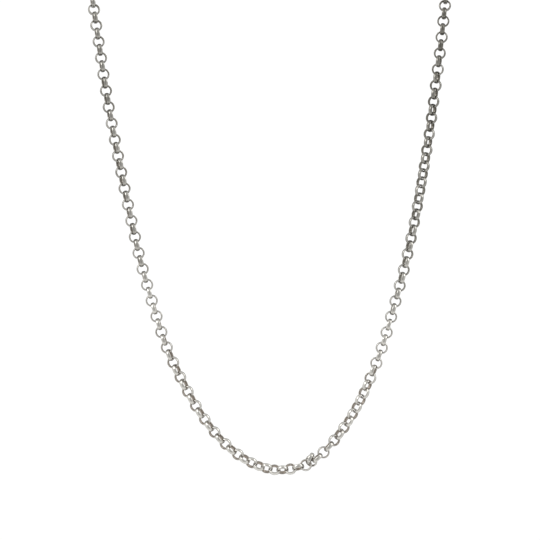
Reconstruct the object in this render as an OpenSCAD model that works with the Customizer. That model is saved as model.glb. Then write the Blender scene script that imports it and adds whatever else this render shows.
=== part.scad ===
// Rolo chain necklace: one closed loop of equal round links that hangs as it
// does from a neck. The front is a hanging U with a kink in its lowest stretch,
// and the rest runs back round the sides of the neck to a clasp at the nape.
// +Z is up, the front faces -Y, and the origin is the middle of the nape.

/* [Link] */
// Outer diameter of every link
link_d = 4.1; // [3.8:0.05:4.6]
// Thickness of the wire from the link's inside to its outside
wire_t = 0.555; // [0.43:0.005:0.6]
// Width of the wire along the link's own axis
wire_w = 1.2; // [1:0.05:1.4]
// Rise of the wire's domed outer face over its width
outer_crown = 0.15; // [0.06:0.01:0.2]
// Width of the flat along the top of that dome
crown_flat = 0.4; // [0.2:0.05:0.6]
// Rise of the wire's flatter inner face over its width
inner_crown = 0.11; // [0.04:0.01:0.13]
// Play left between the corners of two linked links that hang taut
link_play = 0.17; // [0.15:0.01:0.3]

/* [Hang] */
// Share of a taut gap that the gaps between the left strand's links lack
left_slack = 0; // [0:0.005:0.05]
// Share of a taut gap that the gaps between the right strand's links lack
right_slack = 0.02; // [0:0.005:0.05]
// Further share that the gaps next to the kink lack on the left
left_kink_slack = 0.05; // [0:0.005:0.08]
// Further share that the gaps next to the kink lack on the right
right_kink_slack = 0.025; // [0:0.005:0.08]
// Number of links over which that further share fades
fade_links = 30; // [5:1:40]

/* [Clasp] */
// Outer diameter of the clasp's ring
clasp_ring_d = 6.2; // [5.4:0.1:8]
// Diameter of the clasp ring's wire
clasp_wire_d = 1.1; // [0.8:0.05:1.3]
// Outer diameter of the clasp's small eye
clasp_eye_d = 3.4; // [3.2:0.1:4.5]
// Diameter of the small eye's wire
eye_wire_d = 0.7; // [0.5:0.05:0.8]
// Depth to which the eye is soldered into the ring
solder_depth = 0.25; // [0.1:0.05:0.4]
// Play between the clasp and each end link
clasp_play = 0.4; // [0.2:0.05:0.8]

/* [Hidden] */
$fn = 96;

// The front of the necklace hangs in one upright plane
front_y = -104;

// Middle of the kink in that plane: x and z
KINK_AT = [14.9, -178.9];
// The kink's links from left to right: x, y and z off its middle in link
// diameters, then the azimuth and the elevation of the link's axis in degrees
KINK = [
    [-0.36, 0.11, 0.01, -9, -26],
    [-0.27, 0.34, -0.20, 66, 24],
    [0.21, 0.01, 0.06, 10, -49]
];
// First link of the left and of the right strand, off that middle as well
KINK_ENDS = [[-0.72, 0, -0.52], [0.72, 0, 0.52]];

// Centre line of each strand above its first link: x and z in the front plane
LEFT_FRONT = [
    [7.0, -182.3], [1.7, -182.6], [-3.5, -181.4],
    [-10.7, -177.5], [-16.8, -172.0], [-23.4, -163.4], [-28.9, -153.7],
    [-34.5, -141.6], [-38.7, -128.6], [-43.2, -112.8], [-46.8, -96.8],
    [-50.7, -77.8], [-54.3, -58.6]
];
RIGHT_FRONT = [
    [21.4, -172.8], [24.6, -168.6], [28.9, -161.7],
    [33.4, -152.1], [37.2, -142.1], [41.1, -129.0], [44.6, -116.0],
    [48.1, -100.2], [50.9, -84.4], [53.4, -68.5], [54.7, -58.6]
];

// Then x, y and z back round the neck, as far as the end link at the clasp
LEFT_BACK = [
    [-56.8, -103.4, -42.2], [-58.9, -101, -28.2], [-60.4, -96.5, -17.5],
    [-61.6, -88.5, -8.8], [-62.2, -77, -3.6], [-61.2, -61, -0.8],
    [-57, -43.5, 0], [-47.5, -25.5, 0], [-33.5, -10, 0], [-17.5, -0.5, 0]
];
RIGHT_BACK = [
    [56.8, -103.4, -42.2], [58.4, -101, -28], [59.6, -96.5, -17.5],
    [60.5, -88.5, -8.8], [60.8, -77, -3.6], [59.8, -61, -0.8],
    [55.6, -43.5, 0], [46.2, -25.5, 0], [32.5, -10, 0], [17.5, -0.8, 0]
];

// Turn of the links about their strand: distance up from the kink, degrees
LEFT_TURN = [
    [0, 14], [3, 22], [6, 33], [11, 45], [16, 52], [24, 61], [30, 65],
    [60, 67], [68, 80], [82, 90], [106, 102], [123, 108], [150, 105],
    [185, 103], [300, 90]
];
RIGHT_TURN = [
    [0, 10], [3, 12], [6, 25], [12, 34], [19, 42], [25, 52], [30, 70],
    [38, 88], [46, 91], [66, 107], [82, 116], [90, 126], [98, 135],
    [110, 148], [128, 156], [138, 166], [150, 171], [185, 173], [300, 180]
];

link_r = link_d / 2;
link_bore_r = link_r - wire_t;
// Two linked links touch at the corners or at the middles of their inner faces
corner_r = link_bore_r + inner_crown;
corner_reach = sqrt(pow(corner_r, 2) - pow(wire_w / 2, 2));
taut_pitch = 2 * min(link_bore_r, corner_reach) - link_play;

clasp_ring_r = (clasp_ring_d - clasp_wire_d) / 2;
clasp_eye_r = (clasp_eye_d - eye_wire_d) / 2;
clasp_bore_r = clasp_ring_r - clasp_wire_d / 2;
eye_bore_r = clasp_eye_r - eye_wire_d / 2;
eye_to_ring = clasp_eye_r + clasp_ring_r + (clasp_wire_d + eye_wire_d) / 2 - solder_depth;
eye_reach = link_bore_r + eye_bore_r - clasp_play;
ring_reach = link_bore_r + clasp_bore_r - clasp_play;
clasp_span = eye_reach + eye_to_ring + ring_reach;
// The chain bears on the nape, which is the origin, with its inner side
nape_y = link_r;

function unit(v) = v / norm(v);
function across(v, along) = unit(v - (v * along) * along);

// A smooth curve through the chosen points, as many short straight steps
curve_steps = 12;
function slope(p, i) =
    i == 0 ? unit(p[1] - p[0])
    : i == len(p) - 1 ? unit(p[i] - p[i - 1])
    : let (before = norm(p[i] - p[i - 1]), after = norm(p[i + 1] - p[i]))
      ((p[i] - p[i - 1]) / before * after + (p[i + 1] - p[i]) / after * before)
      / (before + after);
function blend(a, b, slope_a, slope_b, t) =
    let (chord = norm(b - a))
    (1 + 2 * t) * pow(1 - t, 2) * a + t * pow(1 - t, 2) * chord * slope_a
    + pow(t, 2) * (3 - 2 * t) * b - pow(t, 2) * (1 - t) * chord * slope_b;
function smooth(p) = concat(
    [for (i = [0 : len(p) - 2], k = [0 : curve_steps - 1])
        blend(p[i], p[i + 1], slope(p, i), slope(p, i + 1), k / curve_steps)],
    [p[len(p) - 1]]
);
function running_length(p) =
    [for (i = 0, sum = 0; i < len(p); i = i + 1,
        sum = i < len(p) ? sum + norm(p[i] - p[i - 1]) : sum) sum];
function point_at(p, lengths, s) =
    [for (axis = [0 : 2]) lookup(s, [for (i = [0 : len(p) - 1]) [lengths[i], p[i][axis]]])];

// How far up a strand its link number i hangs, counted in its widest gaps
function eased(i, kink_slack) = i - kink_slack * fade_links * (1 - exp(-i / fade_links));

// Gaps between a strand's links: odd or even, so that its last link lies flat
function gap_count(length, pitch, kink_slack, odd) =
    let (need = ceil(length / pitch + kink_slack * fade_links))
    need % 2 == odd ? need : need + 1;

// A strand as a list of links, each [centre, direction of the strand, axis]
function strand(points, turns, slack, kink_slack, odd) =
    let (
        curve = smooth(points),
        lengths = running_length(curve),
        total = lengths[len(curve) - 1],
        gaps = gap_count(total, taut_pitch * (1 - slack), kink_slack, odd),
        widest = total / eased(gaps, kink_slack),
        s = [for (i = [0 : gaps]) widest * eased(i, kink_slack)],
        centres = [for (i = [0 : gaps]) point_at(curve, lengths, s[i])],
        along = [for (i = [0 : gaps])
            unit(centres[min(i + 1, gaps)] - centres[max(i - 1, 0)])],
        side = [for (i = 0, v = [0, 1, 0]; i <= gaps;
            i = i + 1, v = across(v, along[min(i, gaps)])) across(v, along[i])]
    )
    [for (i = [0 : gaps])
        let (turn = lookup(s[i], turns) + (i % 2) * 90)
        [centres[i], along[i],
            cos(turn) * side[i] + sin(turn) * cross(along[i], side[i])]];

function by_kink(offset) = [KINK_AT[0], front_y, KINK_AT[1]] + link_d * offset;
function route(first, front, back, side) = concat(
    [by_kink(first)], [for (p = front) [p[0], front_y, p[1]]], back,
    [[side * clasp_span / 2, nape_y, 0]]);

left_links = strand(route(KINK_ENDS[0], LEFT_FRONT, LEFT_BACK, -1),
    LEFT_TURN, left_slack, left_kink_slack, 1);
right_links = strand(route(KINK_ENDS[1], RIGHT_FRONT, RIGHT_BACK, 1),
    RIGHT_TURN, right_slack, right_kink_slack, 0);
kink_links = [for (row = KINK)
    [by_kink([row[0], row[1], row[2]]), [0, 0, 1],
        [cos(row[4]) * cos(row[3]), cos(row[4]) * sin(row[3]), sin(row[4])]]];

// The wire's section: its domed outer face in three flats, its inner face in two
wire_section = [
    [link_r - outer_crown, -wire_w / 2], [link_r, -crown_flat / 2],
    [link_r, crown_flat / 2], [link_r - outer_crown, wire_w / 2],
    [link_bore_r + inner_crown, wire_w / 2], [link_bore_r, 0],
    [link_bore_r + inner_crown, -wire_w / 2]
];

// One link about the Z axis
module link() {
    rotate_extrude() polygon(wire_section);
}

// Puts a link at its centre, with its axis and its strand's direction
module hang(spot) {
    z = spot[2];
    x = across(spot[1], z);
    y = cross(z, x);
    multmatrix([
        [x[0], y[0], z[0], spot[0][0]],
        [x[1], y[1], z[1], spot[0][1]],
        [x[2], y[2], z[2], spot[0][2]]
    ]) link();
}

module chain_left() {
    color("silver") for (spot = left_links) hang(spot);
}

// The right strand with the kink's links
module chain_right() {
    color("silver") for (spot = concat(kink_links, right_links)) hang(spot);
}

module wire_ring(ring_r, wire_d) {
    rotate([90, 0, 0]) rotate_extrude() translate([ring_r, 0]) circle(d = wire_d);
}

module clasp() {
    color("gainsboro")
        translate([-clasp_span / 2 + eye_reach, nape_y, 0]) {
            wire_ring(clasp_eye_r, eye_wire_d);
            translate([eye_to_ring, 0, 0]) wire_ring(clasp_ring_r, clasp_wire_d);
        }
}

chain_left();
chain_right();
clasp();
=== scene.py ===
"""Looks of a rolo chain necklace, laid out as a Blender add-on.

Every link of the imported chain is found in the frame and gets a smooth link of
half-round wire at its own place. All lengths are in metres.
"""

import math

import bmesh
import bpy
import numpy as np
from bpy.props import FloatProperty, FloatVectorProperty, IntProperty, PointerProperty
from mathutils import Matrix, Vector


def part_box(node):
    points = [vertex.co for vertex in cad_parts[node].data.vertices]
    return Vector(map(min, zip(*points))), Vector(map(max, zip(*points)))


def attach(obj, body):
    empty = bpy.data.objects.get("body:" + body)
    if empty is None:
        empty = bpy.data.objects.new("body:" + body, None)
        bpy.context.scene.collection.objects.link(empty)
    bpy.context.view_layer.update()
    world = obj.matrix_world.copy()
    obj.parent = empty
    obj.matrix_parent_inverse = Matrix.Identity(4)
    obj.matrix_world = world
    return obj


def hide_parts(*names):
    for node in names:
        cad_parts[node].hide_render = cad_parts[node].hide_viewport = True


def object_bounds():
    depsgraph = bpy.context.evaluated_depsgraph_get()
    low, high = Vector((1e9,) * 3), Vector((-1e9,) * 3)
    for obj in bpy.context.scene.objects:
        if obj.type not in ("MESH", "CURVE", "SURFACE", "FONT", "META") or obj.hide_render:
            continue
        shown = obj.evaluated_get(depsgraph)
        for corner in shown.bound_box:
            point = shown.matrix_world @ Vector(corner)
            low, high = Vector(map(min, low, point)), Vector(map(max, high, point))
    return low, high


bl_info = {
    "name": "Rolo Chain Necklace",
    "version": (1, 0, 0),
    "blender": (4, 5, 0),
    "location": "View3D > Sidebar > Necklace",
    "description": "Dresses a packed rolo chain with smooth links, metal finishes and a stage",
    "category": "Object",
}

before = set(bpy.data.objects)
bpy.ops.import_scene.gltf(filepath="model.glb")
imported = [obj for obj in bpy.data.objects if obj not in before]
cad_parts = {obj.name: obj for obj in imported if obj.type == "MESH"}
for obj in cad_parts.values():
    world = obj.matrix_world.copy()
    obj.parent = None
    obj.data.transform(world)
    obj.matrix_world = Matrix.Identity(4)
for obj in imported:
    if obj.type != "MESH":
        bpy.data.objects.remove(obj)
CAD_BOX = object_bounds()

MM = 0.001
MERGE_WITHIN = 0.001 * MM
CHAIN_NODES = ("chain_left", "chain_right")
CLASP_NODE = "clasp"

# How much of each strand's bright face a grey painted shade covers: height in mm,
# share. It stands for the light that falls off higher up, more on the right strand:
# the low front is left bright, the stretches at the neck are darkened.
PAINTED_SHADE = {
    "chain_left": (
        (-170, 0), (-148, 0.1), (-132, 0.08), (-117, 0.2), (-101, 0.44),
        (-68, 0.49), (-52, 0.6), (-35, 0.47), (-5, 0.7),
    ),
    "chain_right": (
        (-160, 0.02), (-141, 0.13), (-125, 0.24), (-109, 0.45), (-94, 0.6),
        (-77, 0.67), (-61, 0.87), (-47, 0.67), (-33, 0.92), (-5, 0.7),
    ),
}
# How brown the film inside the links has turned: height in mm, share
BROWNING = {
    "chain_left": ((-150, 1.0), (-140, 0.7), (-126, 0.3), (-80, 0.3), (-60, 0.15)),
    "chain_right": ((-155, 0.9), (-143, 0.6), (-132, 0.05)),
}
# How far every other link leans one way off its strand's turn, and the rest the
# other way, because a hanging chain isn't quite square: height in mm, degrees
SKEW = {
    "chain_left": (
        (-155, -3.5), (-146, -0.5), (-136, -2.5), (-120, 0), (-60, 0.5), (-40, 3), (-20, 0),
    ),
    "chain_right": (
        (-166, 2), (-152, -1), (-140, -2.5), (-60, -2.8), (-40, -1.8), (-20, 0),
    ),
}
# How many links at a strand's low end are jammed in the kink and can't lean
JAMMED = {"chain_left": 0, "chain_right": 3}

# Sizes of the marks on the metal
FILM_BLOTCH = 0.6 * MM
# Size of the random patches in which the painted shade lies on the links
TARNISH_AND_SHADE_PATCH = 1.6 * MM
DENT = 1.2 * MM
PEEL = 0.25 * MM
PEEL_DEPTH = 0.01 * MM
CLASP_BLOTCH = 1.5 * MM
# The part of a noise pattern's range that nearly all of it lies in
NOISE_RANGE = {"From Min": 0.3, "From Max": 0.7}
# A Mix node's sockets for colours, which share their names with others
MIX_FACTOR, MIX_FIRST, MIX_SECOND, MIXED = 0, 6, 7, 2

# The tent of light: its own strength, and what each side adds. A side is an axis,
# the part of it at which its light starts and is full, and its strength.
TENT = 0.57
TENT_SIDES = (
    ("X", -0.3, -0.85, 0.45),
    ("X", 0.3, 0.85, 0.36),
    ("Y", 0.45, 1.0, -0.43),
    ("Z", 0.5, 0.95, 0.3),
    ("Z", -0.5, -0.95, 0.52),
)
# Strength of the white that the camera sees around the chain
SURROUND = 1.05
# Each soft box: place off the picture's centre in metres, power in watts
SOFT_BOXES = {
    "left_box": ((-0.585, -0.45, 0.54), 2.55),
    "right_box": ((0.72, -0.135, 0.54), 1.86),
}
SOFT_BOX_SIZE = 0.5
FLOOR_RADIUS = 0.6
FLOOR_SIDES = 96


def linear(hex_colour):
    """A colour written as sRGB hex, such as B8B5AF, as the linear values that shaders take."""
    channels = [int(hex_colour[i : i + 2], 16) / 255 for i in (0, 2, 4)]
    return tuple(
        c / 12.92 if c <= 0.04045 else ((c + 0.055) / 1.055) ** 2.4 for c in channels
    )


def loose_parts(cad):
    """The corners of each loose part of a CAD node, one array for each part."""
    copy = bmesh.new()
    copy.from_mesh(cad.data)
    bmesh.ops.remove_doubles(copy, verts=copy.verts, dist=MERGE_WITHIN)
    seen = set()
    parts = []
    for first in copy.verts:
        if first in seen:
            continue
        seen.add(first)
        part, edge_of_part = [], [first]
        while edge_of_part:
            corner = edge_of_part.pop()
            part.append(corner.co[:])
            for edge in corner.link_edges:
                other = edge.other_vert(corner)
                if other not in seen:
                    seen.add(other)
                    edge_of_part.append(other)
        parts.append(np.array(part))
    copy.free()
    return parts


def ring_fit(corners):
    """Centre and axis of a ring: its corners spread least along the axis."""
    centre = corners.mean(0)
    _, directions = np.linalg.eigh(np.cov((corners - centre).T))
    return centre, directions[:, 0]


def ring_sizes(corners, centre, axis):
    """Outer radius, bore radius and width of a ring."""
    height = (corners - centre) @ axis
    radius = np.linalg.norm(corners - centre - height[:, None] * axis, axis=1)
    return radius.max(), radius.min(), 2 * abs(height).max()


def find_links():
    """Centre and axis of every link, by node, and the sizes that all links share."""
    rings, sizes = {}, []
    for name in CHAIN_NODES:
        rings[name] = []
        for corners in loose_parts(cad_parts[name]):
            centre, axis = ring_fit(corners)
            rings[name].append((centre, axis))
            sizes.append(ring_sizes(corners, centre, axis))
    return rings, np.median(sizes, axis=0)


LINKS, (LINK_R, BORE_R, WIRE_W) = find_links()


class NecklaceLink(bpy.types.PropertyGroup):
    outer_diameter: FloatProperty(
        name="Outer diameter",
        description="Diameter of a link over the crown of its wire",
        default=2 * LINK_R,
        unit="LENGTH",
    )
    bore_diameter: FloatProperty(
        name="Bore diameter",
        description="Diameter of a link's opening at the middle of its inner face",
        default=2 * BORE_R,
        unit="LENGTH",
    )
    wire_width: FloatProperty(
        name="Wire width",
        description="Width of the half-round wire along the link's axis",
        default=WIRE_W,
        unit="LENGTH",
    )
    outer_crown: FloatProperty(
        name="Outer crown",
        description="Rise of the wire's domed outer face",
        default=0.15 * MM,
        unit="LENGTH",
    )
    inner_crown: FloatProperty(
        name="Inner crown",
        description="Rise of the wire's flatter inner face",
        default=0.11 * MM,
        unit="LENGTH",
    )
    edge_round: FloatProperty(
        name="Edge round",
        description="How far the tumbled edges of the wire draw in from its full width",
        default=0.04 * MM,
        unit="LENGTH",
    )
    lean: FloatProperty(
        name="Lean",
        description="How far a link leans by chance about its strand, at most",
        default=math.radians(3.5),
        subtype="ANGLE",
    )
    steps: IntProperty(
        name="Steps",
        description="Faces round a link before it is smoothed",
        default=12,
        min=8,
    )
    smoothing: IntProperty(
        name="Smoothing",
        description="Subdivisions of each link",
        default=2,
        min=1,
        max=3,
    )


class NecklaceFinish(bpy.types.PropertyGroup):
    steel: FloatVectorProperty(
        name="Steel",
        description="Colour of the bright metal",
        subtype="COLOR",
        default=linear("CFCDC7"),
    )
    # Painted shade on the chain: the darker colour that stands for less light on the links
    # higher up. On the clasp it is a real blotchy tarnish.
    tarnished_and_shaded: FloatVectorProperty(
        name="Tarnished steel",
        description="Colour of the metal where the grey tarnish covers it",
        subtype="COLOR",
        default=linear("73716A"),
    )
    patina: FloatVectorProperty(
        name="Patina",
        description="Colour of the film inside the links",
        subtype="COLOR",
        default=linear("7B776E"),
    )
    brown_patina: FloatVectorProperty(
        name="Brown patina",
        description="Colour of that film where it has turned brown",
        subtype="COLOR",
        default=linear("867566"),
    )
    dent_depth: FloatProperty(
        name="Dent depth",
        description="Depth of the shallow dents that tumbling leaves",
        default=0.06 * MM,
        unit="LENGTH",
    )
    # Random differences from link to link in the painted shade
    unevenness: FloatProperty(
        name="Unevenness",
        description="How much the tarnish cover differs from link to link",
        default=0.06,
        min=0,
        max=0.5,
        subtype="FACTOR",
    )
    seed: IntProperty(
        name="Seed",
        description="Start of the random draws for the leans and the unevenness",
        default=3,
    )
    film: FloatProperty(
        name="Film",
        description="How much of a link's inner face the film covers",
        default=0.8,
        min=0,
        max=1,
        subtype="FACTOR",
    )
    film_falloff: FloatProperty(
        name="Film falloff",
        description="How fast the film thins out from the inner face to the outer one",
        default=2.9,
        min=0.5,
        max=4,
    )
    roughness: FloatProperty(
        name="Roughness",
        description="Roughness of the tumbled metal",
        default=0.21,
        min=0,
        max=1,
        subtype="FACTOR",
    )
    patina_roughness: FloatProperty(
        name="Patina roughness",
        description="Roughness where the film is thickest",
        default=0.5,
        min=0,
        max=1,
        subtype="FACTOR",
    )


class NecklaceStage(bpy.types.PropertyGroup):
    picture_width: FloatProperty(
        name="Picture width",
        description="Width that the picture takes in at the chain's front",
        default=180 * MM,
        unit="LENGTH",
    )
    view_height: FloatProperty(
        name="View height",
        description="Height of the picture's centre, and of the level camera",
        default=-116 * MM,
        unit="LENGTH",
    )
    camera_distance: FloatProperty(
        name="Camera distance",
        description="Distance from the camera to the chain's front",
        default=1.5,
        unit="LENGTH",
    )
    floor_drop: FloatProperty(
        name="Floor drop",
        description="Depth of the floor under the chain's lowest link",
        default=0.13,
        unit="LENGTH",
    )


def add_node(tree, kind, sockets=(), **settings):
    """Adds a node. A socket takes a plain value or another node's output."""
    made = tree.nodes.new(kind)
    for name, value in settings.items():
        setattr(made, name, value)
    for name, value in dict(sockets).items():
        if isinstance(value, bpy.types.NodeSocket):
            tree.links.new(value, made.inputs[name])
        else:
            made.inputs[name].default_value = value
    return made


def new_material(name):
    """An empty node material with its output and its shader."""
    material = bpy.data.materials.new(name)
    material.use_nodes = True
    tree = material.node_tree
    tree.nodes.clear()
    output = add_node(tree, "ShaderNodeOutputMaterial")
    shader = add_node(tree, "ShaderNodeBsdfPrincipled")
    tree.links.new(shader.outputs["BSDF"], output.inputs["Surface"])
    return material, tree, shader


def tumbled_steel(finish):
    """Stainless steel wire, drawn half-round, soldered and tumbled in pins.

    Tumbling leaves a bright face with a faint orange peel and shallow dents, which
    break up its reflections. It doesn't reach the inside of the links, which keeps
    a thin film, grey to brown. On the rest a grey painted shade darkens the links the
    higher they hang, for the light that falls off there, in random patches.
    """
    material, tree, shader = new_material("tumbled_stainless_steel")
    here = add_node(tree, "ShaderNodeTexCoord").outputs["Object"]
    inside = add_node(tree, "ShaderNodeAttribute", attribute_name="film").outputs["Fac"]
    blotches = add_node(
        tree,
        "ShaderNodeTexNoise",
        {"Vector": here, "Scale": 1 / FILM_BLOTCH, "Detail": 3.0, "Roughness": 0.6},
    ).outputs["Fac"]
    uneven = add_node(
        tree,
        "ShaderNodeMapRange",
        {"Value": blotches, **NOISE_RANGE, "To Min": 0.65, "To Max": 1.2},
    ).outputs["Result"]
    film = add_node(
        tree,
        "ShaderNodeMath",
        {0: inside, 1: uneven},
        operation="MULTIPLY",
        use_clamp=True,
    ).outputs["Value"]
    patches = add_node(
        tree,
        "ShaderNodeTexNoise",
        {"Vector": here, "Scale": 1 / TARNISH_AND_SHADE_PATCH, "Detail": 2.0},
    ).outputs["Fac"]
    patchy = add_node(
        tree,
        "ShaderNodeMapRange",
        {"Value": patches, **NOISE_RANGE, "To Min": 0.7, "To Max": 1.3},
    ).outputs["Result"]
    # Painted shade: the share of the darker colour, higher where less light falls on the
    # hanging links
    cover = add_node(tree, "ShaderNodeAttribute", attribute_name="tarnish_and_shade").outputs["Fac"]
    tarnish_and_shade = add_node(
        tree,
        "ShaderNodeMath",
        {0: cover, 1: patchy},
        operation="MULTIPLY",
        use_clamp=True,
    ).outputs["Value"]
    face = add_node(
        tree,
        "ShaderNodeMix",
        {
            MIX_FACTOR: tarnish_and_shade,
            MIX_FIRST: (*finish.steel, 1),
            MIX_SECOND: (*finish.tarnished_and_shaded, 1),
        },
        data_type="RGBA",
    ).outputs[MIXED]
    browning = add_node(tree, "ShaderNodeAttribute", attribute_name="browning").outputs["Fac"]
    patina = add_node(
        tree,
        "ShaderNodeMix",
        {
            MIX_FACTOR: browning,
            MIX_FIRST: (*finish.patina, 1),
            MIX_SECOND: (*finish.brown_patina, 1),
        },
        data_type="RGBA",
    ).outputs[MIXED]
    colour = add_node(
        tree,
        "ShaderNodeMix",
        {MIX_FACTOR: film, MIX_FIRST: face, MIX_SECOND: patina},
        data_type="RGBA",
    ).outputs[MIXED]
    rough = add_node(
        tree,
        "ShaderNodeMapRange",
        {"Value": film, "To Min": finish.roughness, "To Max": finish.patina_roughness},
    ).outputs["Result"]
    peel = add_node(
        tree,
        "ShaderNodeTexNoise",
        {"Vector": here, "Scale": 1 / PEEL, "Detail": 2.0},
    ).outputs["Fac"]
    dents = add_node(
        tree,
        "ShaderNodeTexNoise",
        {"Vector": here, "Scale": 1 / DENT, "Detail": 1.0},
    ).outputs["Fac"]
    dented = add_node(
        tree,
        "ShaderNodeBump",
        {"Height": dents, "Strength": 1.0, "Distance": finish.dent_depth},
    ).outputs["Normal"]
    bump = add_node(
        tree,
        "ShaderNodeBump",
        {"Height": peel, "Strength": 0.5, "Distance": PEEL_DEPTH, "Normal": dented},
    ).outputs["Normal"]
    tree.links.new(colour, shader.inputs["Base Color"])
    tree.links.new(rough, shader.inputs["Roughness"])
    tree.links.new(bump, shader.inputs["Normal"])
    shader.inputs["Metallic"].default_value = 1.0
    return material


def polished_steel(finish):
    """Round stainless steel wire, polished: bright, with a thin blotchy tarnish of age."""
    material, tree, shader = new_material("polished_stainless_steel")
    here = add_node(tree, "ShaderNodeTexCoord").outputs["Object"]
    blotches = add_node(
        tree,
        "ShaderNodeTexNoise",
        {"Vector": here, "Scale": 1 / CLASP_BLOTCH, "Detail": 3.0, "Roughness": 0.6},
    ).outputs["Fac"]
    tarnish_and_shade = add_node(
        tree,
        "ShaderNodeMapRange",
        {"Value": blotches, **NOISE_RANGE, "To Min": 0.3, "To Max": 0.8},
    ).outputs["Result"]
    colour = add_node(
        tree,
        "ShaderNodeMix",
        {
            MIX_FACTOR: tarnish_and_shade,
            MIX_FIRST: (*finish.steel, 1),
            MIX_SECOND: (*finish.tarnished_and_shaded, 1),
        },
        data_type="RGBA",
    ).outputs[MIXED]
    tree.links.new(colour, shader.inputs["Base Color"])
    shader.inputs["Roughness"].default_value = finish.roughness
    shader.inputs["Metallic"].default_value = 1.0
    return material


def pale_paint(name, hex_colour):
    """Matt studio paint, which shows no gloss."""
    material, _, shader = new_material(name)
    shader.inputs["Base Color"].default_value = (*linear(hex_colour), 1)
    shader.inputs["Roughness"].default_value = 0.9
    return material


def smoothed_through(points, rounds=40):
    """Corners of a closed cage whose smoothed outline passes through the points."""
    points = np.array(points)
    corners = points.copy()
    for _ in range(rounds):
        outline = (np.roll(corners, 1, 0) + 4 * corners + np.roll(corners, -1, 0)) / 6
        corners += points - outline
    return corners


def sorted_faces(cage):
    """The faces as corner numbers in a fixed order, because a spin's order changes by run."""
    cage.verts.index_update()
    return sorted([corner.index for corner in face.verts] for face in cage.faces)


def link_cage(link):
    """A link about the Z axis, as a coarse cage that subdivision rounds."""
    outer, bore = link.outer_diameter / 2, link.bore_diameter / 2
    edge = link.wire_width / 2 - link.edge_round
    outline = smoothed_through(
        [
            (outer, 0),
            (outer - link.outer_crown, edge),
            (bore + link.inner_crown, edge),
            (bore, 0),
            (bore + link.inner_crown, -edge),
            (outer - link.outer_crown, -edge),
        ]
    )
    # Smoothing draws a ring of this few corners in, so they start that much further out
    swell = 3 / (2 + math.cos(math.tau / link.steps))
    cage = bmesh.new()
    corners = [cage.verts.new((swell * radius, 0, height)) for radius, height in outline]
    sides = [cage.edges.new(pair) for pair in zip(corners, corners[1:] + corners[:1])]
    bmesh.ops.spin(
        cage,
        geom=corners + sides,
        cent=(0, 0, 0),
        axis=(0, 0, 1),
        dvec=(0, 0, 0),
        angle=math.tau,
        steps=link.steps,
        use_merge=True,
    )
    bmesh.ops.recalc_face_normals(cage, faces=cage.faces)
    mesh = bpy.data.meshes.new("link_cage")
    mesh.from_pydata([corner.co for corner in cage.verts], [], sorted_faces(cage))
    cage.free()
    return mesh


def ordered(rings):
    """The links of a node in the order in which they hang, from its end nearest the clasp."""
    low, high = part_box(CLASP_NODE)
    left = set(range(len(rings)))
    spot = (low + high) / 2
    order = []
    while left:
        near = min(left, key=lambda i: (Vector(rings[i][0]) - spot).length)
        left.remove(near)
        order.append(near)
        spot = Vector(rings[near][0])
    return [rings[i] for i in order]


def link_places(name, lean, chance):
    """Where each link of a strand goes, from the clasp down, with its lean in its play."""
    strand = ordered(LINKS[name])
    centres = np.array([centre for centre, _ in strand])
    upward = -np.gradient(centres, axis=0)
    skew = np.interp(centres[:, 2] / MM, *zip(*SKEW[name]))
    leans = np.radians(skew) * (-1) ** np.arange(len(strand))
    leans += chance.uniform(-lean, lean, len(strand))
    leans[len(strand) - JAMMED[name] :] = 0
    places = []
    for (centre, axis), way, angle in zip(strand, upward, leans):
        face = Vector((0, 0, 1)).rotation_difference(Vector(axis)).to_matrix().to_4x4()
        turn = Matrix.Rotation(angle, 4, Vector(way))
        places.append(Matrix.Translation(centre) @ turn @ face)
    return places


def link_strip(name, places, settings, material, chance):
    """A stretch of chain as one piece: a copy of the cage at every link of the stretch."""
    link, finish = settings
    node = name.rsplit("_", 1)[0]
    cage = link_cage(link)
    from_bore = np.array([math.hypot(*v.co.xy) for v in cage.vertices])
    from_bore = (from_bore - from_bore.min()) / np.ptp(from_bore)
    strip = bmesh.new()
    for place in places:
        before = len(strip.verts)
        strip.from_mesh(cage)
        strip.verts.ensure_lookup_table()
        bmesh.ops.transform(strip, matrix=place, verts=strip.verts[before:])
    mesh = bpy.data.meshes.new(name)
    strip.to_mesh(mesh)
    strip.free()
    heights = np.array([place.translation.z for place in places]) / MM
    # Painted shade, darker the higher a link hangs for the light that falls off there, with a
    # random difference from link to link
    tarnish_and_shade = np.interp(heights, *zip(*PAINTED_SHADE[node]))
    tarnish_and_shade += chance.normal(0, finish.unevenness, len(places))
    patina_and_shade = {
        "film": np.tile(finish.film * (1 - from_bore) ** finish.film_falloff, len(places)),
        "tarnish_and_shade": np.repeat(np.clip(tarnish_and_shade, 0, 1), len(from_bore)),
        "browning": np.repeat(np.interp(heights, *zip(*BROWNING[node])), len(from_bore)),
    }
    for label, values in patina_and_shade.items():
        mesh.attributes.new(label, "FLOAT", "POINT").data.foreach_set(
            "value", values.astype(np.float32)
        )
    mesh.shade_smooth()
    mesh.materials.append(material)
    piece = bpy.data.objects.new(name, mesh)
    bpy.context.collection.objects.link(piece)
    smooth = piece.modifiers.new("Round", "SUBSURF")
    smooth.levels = smooth.render_levels = link.smoothing
    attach(piece, "root")
    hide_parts(node)


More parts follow.
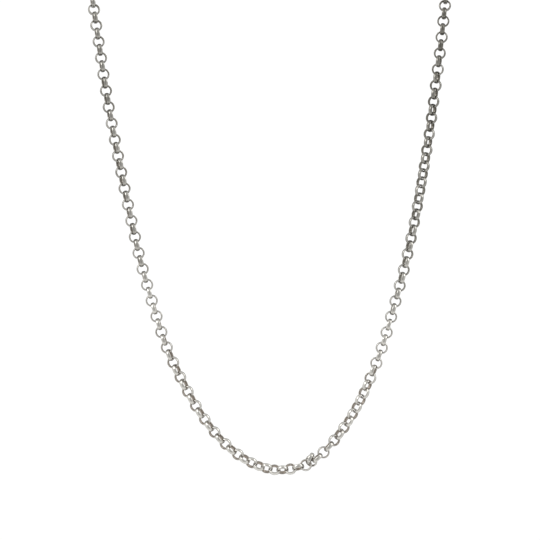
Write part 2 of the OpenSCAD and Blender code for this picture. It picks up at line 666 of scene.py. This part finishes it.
class NECKLACE_OT_chain(bpy.types.Operator):
    """Hang smooth links of half-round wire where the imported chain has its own"""

    bl_idname = "necklace.chain"
    bl_label = "Chain"

    def execute(self, context):
        settings = context.scene.necklace_link, context.scene.necklace_finish
        metal = tumbled_steel(settings[1])
        chance = np.random.default_rng(settings[1].seed)
        for name in CHAIN_NODES:
            places = link_places(name, settings[0].lean, chance)
            half = len(places) // 2
            if not half:
                raise RuntimeError(f"no links were found in {name}")
            link_strip(f"{name}_back", places[:half], settings, metal, chance)
            link_strip(f"{name}_front", places[half:], settings, metal, chance)
        return {"FINISHED"}


class NECKLACE_OT_clasp(bpy.types.Operator):
    """Give the plain clasp at the nape its metal"""

    bl_idname = "necklace.clasp"
    bl_label = "Clasp"

    def execute(self, context):
        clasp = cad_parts[CLASP_NODE]
        clasp.data.materials.clear()
        clasp.data.materials.append(polished_steel(context.scene.necklace_finish))
        return {"FINISHED"}


def soft_box(name, place, target, power):
    """A square area light that points at the target."""
    light = bpy.data.lights.new(name, "AREA")
    light.size = SOFT_BOX_SIZE
    light.energy = power
    box = bpy.data.objects.new(name, light)
    box.location = place
    box.rotation_euler = (target - place).to_track_quat("-Z", "Y").to_euler()
    bpy.context.collection.objects.link(box)


def studio_world():
    """A white surround for the camera, and a soft grey tent of light for the metal."""
    world = bpy.data.worlds.new("studio")
    world.use_nodes = True
    tree = world.node_tree
    tree.nodes.clear()
    toward = add_node(tree, "ShaderNodeTexCoord").outputs["Generated"]
    axes = add_node(tree, "ShaderNodeSeparateXYZ", {"Vector": toward})
    tent = TENT
    for axis, start, full, glow in TENT_SIDES:
        side = add_node(
            tree,
            "ShaderNodeMapRange",
            {"Value": axes.outputs[axis], "From Min": start, "From Max": full, "To Max": glow},
            interpolation_type="SMOOTHSTEP",
        ).outputs["Result"]
        tent = add_node(
            tree, "ShaderNodeMath", {0: tent, 1: side}, operation="ADD"
        ).outputs["Value"]
    seen = add_node(tree, "ShaderNodeLightPath").outputs["Is Camera Ray"]
    lit = add_node(tree, "ShaderNodeBackground", {"Color": tent})
    white = add_node(
        tree, "ShaderNodeBackground", {"Color": (1, 1, 1, 1), "Strength": SURROUND}
    )
    either = add_node(
        tree,
        "ShaderNodeMixShader",
        {0: seen, 1: lit.outputs["Background"], 2: white.outputs["Background"]},
    )
    add_node(tree, "ShaderNodeOutputWorld", {"Surface": either.outputs["Shader"]})
    return world


class NECKLACE_OT_stage(bpy.types.Operator):
    """Set up the pale floor, the soft light and the camera"""

    bl_idname = "necklace.stage"
    bl_label = "Stage"

    def execute(self, context):
        stage = context.scene.necklace_stage
        low = Vector(CAD_BOX[0])
        front = low.y + LINK_R
        centre = Vector((0, front, stage.view_height))

        camera = bpy.data.cameras.new("camera")
        camera.lens = camera.sensor_width * stage.camera_distance / stage.picture_width
        eye = bpy.data.objects.new("camera", camera)
        eye.location = centre - Vector((0, stage.camera_distance, 0))
        eye.rotation_euler = (math.pi / 2, 0, 0)
        context.collection.objects.link(eye)
        context.scene.camera = eye

        disc = bmesh.new()
        bmesh.ops.create_circle(
            disc, cap_ends=True, segments=FLOOR_SIDES, radius=FLOOR_RADIUS
        )
        bmesh.ops.translate(disc, verts=disc.verts, vec=(0, 0, low.z - stage.floor_drop))
        mesh = bpy.data.meshes.new("floor")
        disc.to_mesh(mesh)
        disc.free()
        mesh.materials.append(pale_paint("white_studio_paint", "F4F4F2"))
        floor = bpy.data.objects.new("floor", mesh)
        context.collection.objects.link(floor)
        # The tent's light comes from below too, so the floor neither mirrors nor shades
        floor.visible_glossy = floor.visible_shadow = False

        for name, (offset, power) in SOFT_BOXES.items():
            soft_box(name, centre + Vector(offset), centre, power)
        context.scene.world = studio_world()
        context.scene.view_settings.view_transform = "Standard"
        return {"FINISHED"}


class NECKLACE_PT_panel(bpy.types.Panel):
    """Lists the pieces of the necklace"""

    bl_idname = "NECKLACE_PT_panel"
    bl_label = "Rolo Chain Necklace"
    bl_space_type = "VIEW_3D"
    bl_region_type = "UI"
    bl_category = "Necklace"

    def draw(self, context):
        for operator in OPERATORS:
            self.layout.operator(operator.bl_idname)


SETTINGS = {
    "necklace_link": NecklaceLink,
    "necklace_finish": NecklaceFinish,
    "necklace_stage": NecklaceStage,
}
OPERATORS = (NECKLACE_OT_chain, NECKLACE_OT_clasp, NECKLACE_OT_stage)
CLASSES = (*SETTINGS.values(), *OPERATORS, NECKLACE_PT_panel)


def register():
    for one in CLASSES:
        bpy.utils.register_class(one)
    for name, group in SETTINGS.items():
        setattr(bpy.types.Scene, name, PointerProperty(type=group))


def unregister():
    for name in SETTINGS:
        delattr(bpy.types.Scene, name)
    for one in reversed(CLASSES):
        bpy.utils.unregister_class(one)


def main():
    register()
    bpy.ops.necklace.chain()
    bpy.ops.necklace.clasp()
    bpy.ops.necklace.stage()


if __name__ == "__main__":
    main()
